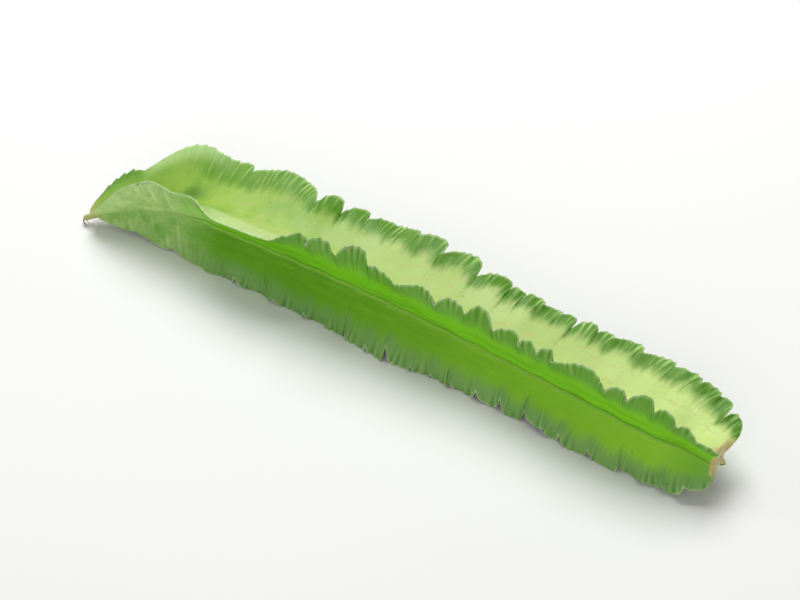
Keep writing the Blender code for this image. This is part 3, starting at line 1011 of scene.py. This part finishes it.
def lay_hollow_shade(tree, skin, colour):
    """Painted shade: a dark uneven patch in the fold behind the head."""
    uneven = plus(tree, skin.reach, times(tree, plus(tree, skin.soft, skin.wide_lines), HOLLOW_SHADE_WAVERS))
    hollow = times(tree, skin.fold, ramp(tree, uneven, *HOLLOW_SHADE_REACH))
    return mix(tree, times(tree, hollow, HOLLOW_SHADE_SHARE), colour, HOLLOW_SHADE_GREEN)


def lay_crest(tree, skin, colour):
    """Whitish bloom along the crest and a darker edge above the beak, both on the pale faces. The rim reads
    that edge again."""
    crest = times(tree, ramp(tree, skin.reach, *CREST_REACH), skin.pale_face)
    bloomed = times(tree, ramp(tree, skin.along_mm, *CREST_TO_MM), ramp(tree, skin.along_mm, *CREST_FROM_MM))
    colour = mix(tree, times(tree, times(tree, crest, bloomed), CREST_SHARE), colour, CREST_BLOOM)
    skin.beak_edge = times(tree, crest, ramp(tree, skin.along_mm, *BEAK_EDGE_MM))
    return mix(tree, times(tree, skin.beak_edge, BEAK_EDGE_SHARE), colour, BEAK_EDGE)


print("crest bloom: up to", CREST_TO_MM[0], "mm")

# %% Seam, lip and bloom
SEAM_LIGHT = (0.33, 0.55, 0.09, 1)
SEAM_LIGHT_REACH = (0.08, 0.0)
SEAM_LIGHT_SHARE = 0.8
SEAM_DARK = (0.055, 0.20, 0.008, 1)
SEAM_DARK_AT = 0.10
SEAM_DARK_WIDTH = (0.06, 0.0)
SEAM_DARK_HALF = (0.0, -0.6)
SEAM_DARK_SHARE = 0.6
LIP_PALE = (0.50, 0.66, 0.27, 1)
LIP_REACH = (0.50, 0.66)
LIP_SHARE = 0.8
BLOOM = (0.38, 0.58, 0.22, 1)


def lay_seam(tree, skin, colour):
    """A light line along the seam of each green face, and a dark one beside it in the face's first half."""
    on_green = minus(tree, 1.0, skin.pale_face)
    off = math(tree, "ABSOLUTE", minus(tree, skin.reach, SEAM_DARK_AT))
    dark = times(tree, ramp(tree, off, *SEAM_DARK_WIDTH), on_green, ramp(tree, skin.half, *SEAM_DARK_HALF))
    colour = mix(tree, times(tree, dark, SEAM_DARK_SHARE), colour, SEAM_DARK)
    light = times(tree, ramp(tree, skin.reach, *SEAM_LIGHT_REACH), on_green)
    return mix(tree, times(tree, light, SEAM_LIGHT_SHARE), colour, SEAM_LIGHT)


def lay_lip(tree, skin, colour):
    """The lip's inner side, which is paler than the rest."""
    band = times(tree, skin.lip, ramp(tree, skin.reach, *LIP_REACH))
    return mix(tree, times(tree, band, skin.pale_face, LIP_SHARE), colour, LIP_PALE)


def lay_bloom(tree, skin, colour):
    """A little bloom in soft patches on the wings."""
    return mix(tree, skin.bloom, colour, BLOOM)


print("bloom: at most", BLOOM_SHARE)

# %% Veins, and painted light and shade on the pleats
# The dark one colours the veins and is also the painted shade in the pleats' valleys.
DARK_VEIN_AND_PLEAT_SHADE = (0.055, 0.20, 0.02, 1)
VEIN_LINES = (0.56, 0.70)
VEIN_SHARE = 0.5
VEIN_LESS_ON_HEAD = 0.4
PALE_VEIN_LINES = (0.46, 0.34)
PALE_VEIN_SHARE = 0.4
# Painted highlights on the pleats' tops; the pale one also colours the light veins on the pale margin.
PLEAT_HIGHLIGHT = (0.40, 0.60, 0.15, 1)
PALE_VEIN_AND_PLEAT_HIGHLIGHT = (0.46, 0.69, 0.21, 1)
PLEAT_TOP = (0.1, 0.8)
PLEAT_VALLEY = (0.0, -0.6)
PLEAT_SHADING_SHARE = 0.45
PLEAT_MORE_ON_PALE = 0.3


def lay_veins(tree, skin, colour):
    """Dark veins out to the edges, less on the head, and light ones on the margin of the pale faces."""
    share = minus(tree, VEIN_SHARE, times(tree, skin.head, VEIN_LESS_ON_HEAD))
    dark = times(tree, ramp(tree, skin.lines, *VEIN_LINES), skin.outer, share)
    colour = mix(tree, dark, colour, DARK_VEIN_AND_PLEAT_SHADE)
    light = times(tree, ramp(tree, skin.lines, *PALE_VEIN_LINES), skin.pale_margin, skin.pale_face)
    return mix(tree, times(tree, light, PALE_VEIN_SHARE), colour, PALE_VEIN_AND_PLEAT_HIGHLIGHT)


def lay_pleat_light_and_shade(tree, skin, colour):
    """Painted highlight on the top of each pleat and painted shade in its valley, more so on the pale faces.
    """
    share = plus(tree, PLEAT_SHADING_SHARE, times(tree, skin.pale_face, PLEAT_MORE_ON_PALE))
    light = mix(tree, skin.pale_face, PLEAT_HIGHLIGHT, PALE_VEIN_AND_PLEAT_HIGHLIGHT)
    # painted highlight on the pleats' tops, then painted shade in their valleys
    colour = mix(tree, times(tree, ramp(tree, skin.pleat, *PLEAT_TOP), share), colour, light)
    return mix(tree, times(tree, ramp(tree, skin.pleat, *PLEAT_VALLEY), share), colour, DARK_VEIN_AND_PLEAT_SHADE)


print("veins:", LINES[1], "mm apart or so")

# %% Rim and blemishes
RIM = (0.46, 0.62, 0.30, 1)
LOW_RIM = (0.55, 0.69, 0.39, 1)
RIM_HALF = (0.0, 0.6)
RIM_REACH = (0.945, 1.0)
RIM_SHARE = 0.25
RIM_WORN_SHARE = 0.55
RIM_WORN = (0.35, 0.62)
BROWN = (0.22, 0.13, 0.05, 1)
BROWN_REACH = (0.93, 1.0)
BROWN_LINES = (0.62, 0.72)
BROWN_SHARE = 0.6
BLUSH = (0.55, 0.40, 0.22, 1)
BLUSH_STREAKS = (1.0, 4.0)
BLUSH_LINES = (0.56, 0.68)
BLUSH_SHARE = 0.42
BLUSH_LESS_ON_HEAD = 0.36
SPECK = (0.16, 0.09, 0.035, 1)
SPECK_SIZE = 420.0
SPECK_CELLS = 0.06
SPECK_SHARE = 0.28


def lay_rim(tree, skin, colour):
    """A pale rim that is worn in some places and left out above the beak, and brown where it is bruised."""
    worn = plus(tree, RIM_SHARE, times(tree, ramp(tree, skin.wide_lines, *RIM_WORN), RIM_WORN_SHARE))
    worn = times(tree, worn, minus(tree, 1.0, skin.beak_edge))
    rim_colour = mix(tree, ramp(tree, skin.half, *RIM_HALF), RIM, LOW_RIM)
    colour = mix(tree, times(tree, ramp(tree, skin.reach, *RIM_REACH), worn), colour, rim_colour)
    brown = times(tree, ramp(tree, skin.reach, *BROWN_REACH), ramp(tree, skin.wide_lines, *BROWN_LINES))
    return mix(tree, times(tree, brown, BROWN_SHARE), colour, BROWN)


def lay_blemishes(tree, skin, colour):
    """Tan smudges along the middle of the pale faces, less on the head, and a few dark specks."""
    share = minus(tree, BLUSH_SHARE, times(tree, skin.head, BLUSH_LESS_ON_HEAD))
    plain = times(tree, skin.pale_face, minus(tree, 1.0, skin.pale_margin), share)
    smudges = streaks(tree, skin.along_mm, skin.across_mm, *BLUSH_STREAKS)
    colour = mix(tree, times(tree, ramp(tree, smudges, *BLUSH_LINES), plain), colour, BLUSH)
    dots = effect(tree, specks, Size=SPECK_SIZE, Share=SPECK_CELLS)
    return mix(tree, times(tree, dots, SPECK_SHARE), colour, SPECK)


print("specks in", SPECK_CELLS, "of all cells")

# %% Both ends
TIP = (0.46, 0.44, 0.16, 1)
TIP_MM = (6.0, 2.0)
TIP_SHARE = 0.8
SCAR = (0.62, 0.40, 0.19, 1)
SCAR_PALE = (0.66, 0.60, 0.28, 1)
SCAR_FROM_MM = 204.6
SCAR_FADES_MM = 1.2
SCAR_REACH = (0.80, 0.55)
SCAR_WAVERS = 0.2
SCAR_SHARE = 0.9
ENDS_WAVER = 1.2


def lay_ends(tree, skin, colour):
    """A yellowish tip, and the dried cut at the base, which reaches a millimetre further on the pale
    faces."""
    ends = plus(tree, skin.along_mm, times(tree, skin.fine, ENDS_WAVER))
    colour = mix(tree, times(tree, ramp(tree, ends, *TIP_MM), TIP_SHARE), colour, TIP)
    inner = ramp(tree, plus(tree, skin.reach, times(tree, skin.fine, SCAR_WAVERS)), *SCAR_REACH)
    dried_from = minus(tree, SCAR_FROM_MM, skin.pale_face)
    dried = ramp(tree, ends, dried_from, plus(tree, dried_from, SCAR_FADES_MM))
    scar_colour = mix(tree, skin.fine, SCAR_PALE, SCAR)
    return mix(tree, times(tree, dried, inner, SCAR_SHARE), colour, scar_colour)


print("dried from about", SCAR_FROM_MM, "mm on")

# %% The skin's material
LAYERS = (
    lay_head, lay_hollow_shade, lay_crest, lay_seam, lay_lip, lay_bloom,
    lay_veins, lay_pleat_light_and_shade, lay_rim, lay_blemishes, lay_ends,
)
SKIN_ROUGHNESS = (0.36, 0.58)
SKIN_SPECULAR = 0.22
SUBSURFACE = 0.12
SUBSURFACE_RADIUS = (0.5, 1.0, 0.2)
SUBSURFACE_SCALE = 1.6 * MM
FINE_RELIEF = 0.35
RELIEF = 0.22 * MM
RELIEF_STRENGTH = 0.7


def pod_green():
    """The skin's material: the ground colours, all layers over them, a soft gloss that is duller where there
    is bloom, and the relief of the veins."""
    material, tree, shader, _ = new_material("fresh_pod_skin")
    skin = read_skin(tree)
    skin.pale_margin = pale_margin(tree, skin)
    skin.head = head_share(tree, skin)
    colour = mix(tree, skin.pale_face, green_ground(tree, skin), pale_ground(tree, skin))
    for layer in LAYERS:
        colour = layer(tree, skin, colour)
    tree.links.new(colour, shader.inputs["Base Color"])
    rough = between(tree, plus(tree, skin.bloom, skin.soft), *SKIN_ROUGHNESS)
    tree.links.new(rough, shader.inputs["Roughness"])
    shader.inputs["Specular IOR Level"].default_value = SKIN_SPECULAR
    shader.inputs["Subsurface Weight"].default_value = SUBSURFACE
    shader.inputs["Subsurface Radius"].default_value = SUBSURFACE_RADIUS
    shader.inputs["Subsurface Scale"].default_value = SUBSURFACE_SCALE
    height = plus(tree, times(tree, skin.lines, skin.outer), times(tree, skin.fine, FINE_RELIEF))
    inputs = (("Height", height), ("Distance", RELIEF), ("Strength", RELIEF_STRENGTH))
    bump = node(tree, "ShaderNodeBump", inputs)
    tree.links.new(bump.outputs["Normal"], shader.inputs["Normal"])
    return material


skin_mesh.materials.append(pod_green())
print("skin material:", skin_mesh.materials[0].name, "with", len(LAYERS), "layers")

# %% The dried threads
DRY = (0.045, 0.022, 0.020, 1)
DRY_LIGHT = (0.16, 0.085, 0.055, 1)
DRY_PATCHES = 900.0
DRY_SPECKS = 2500.0
DRY_SPECKS_SHARE = 0.3
DRY_ROUGHNESS = 0.75
DRY_GRAIN = 3000.0
DRY_RELIEF = 0.1 * MM


def dry_thread():
    """Withered flower remains: dark brown, dull, with lighter patches."""
    material, tree, shader, coordinates = new_material("dry_style")
    colour = mix(tree, effect(tree, patches, Size=DRY_PATCHES), DRY, DRY_LIGHT)
    colour = mix(tree, effect(tree, specks, Size=DRY_SPECKS, Share=DRY_SPECKS_SHARE), colour, DRY)
    tree.links.new(colour, shader.inputs["Base Color"])
    shader.inputs["Roughness"].default_value = DRY_ROUGHNESS
    grain = noise(tree, coordinates, DRY_GRAIN)
    bump = node(tree, "ShaderNodeBump", (("Height", grain), ("Distance", DRY_RELIEF)))
    tree.links.new(bump.outputs["Normal"], shader.inputs["Normal"])
    return material


dry = dry_thread()
for thread in threads:
    thread.data.materials.append(dry)
print("dry pieces:", len(threads))

# %% [markdown]
# ## Floor, light and camera
#
# A product photograph of food is lit by one large soft light from above, with a weaker one from the front to
# open the shadows, on a pale surface. Area lights do that. The camera looks down at the pod from the front,
# so that the tip points to the upper left.

# %% Floor
FLOOR_HALF = 3.0
FLOOR_PATCHES = 3.0
FLOOR_TINT = (0.80, 0.84)
FLOOR_ROUGHNESS = 0.8


def floor():
    """One large pale square at z = 0, just under the pod."""
    mesh = bpy.data.meshes.new("floor")
    h = FLOOR_HALF
    mesh.from_pydata([(-h, -h, 0), (h, -h, 0), (h, h, 0), (-h, h, 0)], [], [(0, 1, 2, 3)])
    made = bpy.data.objects.new("floor", mesh)
    bpy.context.scene.collection.objects.link(made)
    material, tree, shader, coordinates = new_material("pale_floor")
    tint = between(tree, noise(tree, coordinates, FLOOR_PATCHES), *FLOOR_TINT)
    tree.links.new(tint, shader.inputs["Base Color"])
    shader.inputs["Roughness"].default_value = FLOOR_ROUGHNESS
    mesh.materials.append(material)
    made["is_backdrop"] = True


floor()

# %% Lights
LIGHTS = (
    ("key", (-0.25, 0.35, 0.85), 0.6, 8.5),
    ("front_fill", (0.5, -1.0, 0.55), 0.8, 3.4),
    ("side_fill", (-1.0, -0.3, 0.5), 0.6, 1.2),
)
SKY = (1.0, 0.99, 0.95, 1)
SKY_STRENGTH = 0.30


def area_light(name, place, size, power):
    """A square area light at place that points at the pod."""
    data = bpy.data.lights.new(name, "AREA")
    data.size = size
    data.energy = power
    made = bpy.data.objects.new(name, data)
    made.location = place
    away = -np.array(place)
    made.rotation_euler = look_along(away)
    bpy.context.scene.collection.objects.link(made)


def look_along(direction):
    """Euler angles that point an object's -Z along the direction with its Y upwards."""
    x, y, z = direction / np.linalg.norm(direction)
    return (np.arccos(-z), 0, np.arctan2(-x, y))


for light in LIGHTS:
    area_light(*light)
world = bpy.data.worlds.new("studio")
world.use_nodes = True
sky = world.node_tree.nodes["Background"]
sky.inputs["Color"].default_value = SKY
sky.inputs["Strength"].default_value = SKY_STRENGTH
bpy.context.scene.world = world
bpy.context.scene.view_settings.view_transform = "Standard"

# %% Camera
AZIMUTH = 37
ELEVATION = 44
DISTANCE = 0.6
LENS = 96
SENSOR = 36
AIM = (0.0, 0.0, 0.012)


def camera():
    """A camera on a sphere round the point that it aims at."""
    a, e = np.radians(AZIMUTH), np.radians(ELEVATION)
    outwards = np.array([np.sin(a) * np.cos(e), -np.cos(a) * np.cos(e), np.sin(e)])
    data = bpy.data.cameras.new("camera")
    data.lens = LENS
    data.sensor_width = SENSOR
    made = bpy.data.objects.new("camera", data)
    made.location = np.array(AIM) + outwards * DISTANCE
    made.rotation_euler = look_along(-outwards)
    bpy.context.scene.collection.objects.link(made)
    bpy.context.scene.camera = made


camera()

# %% Both boxes, and finish
boxes = {"solid": solid_box, "dressed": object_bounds()}
boxes = {name: [[float(value) for value in corner] for corner in box] for name, box in boxes.items()}
print("the dressed box:", boxes["dressed"])
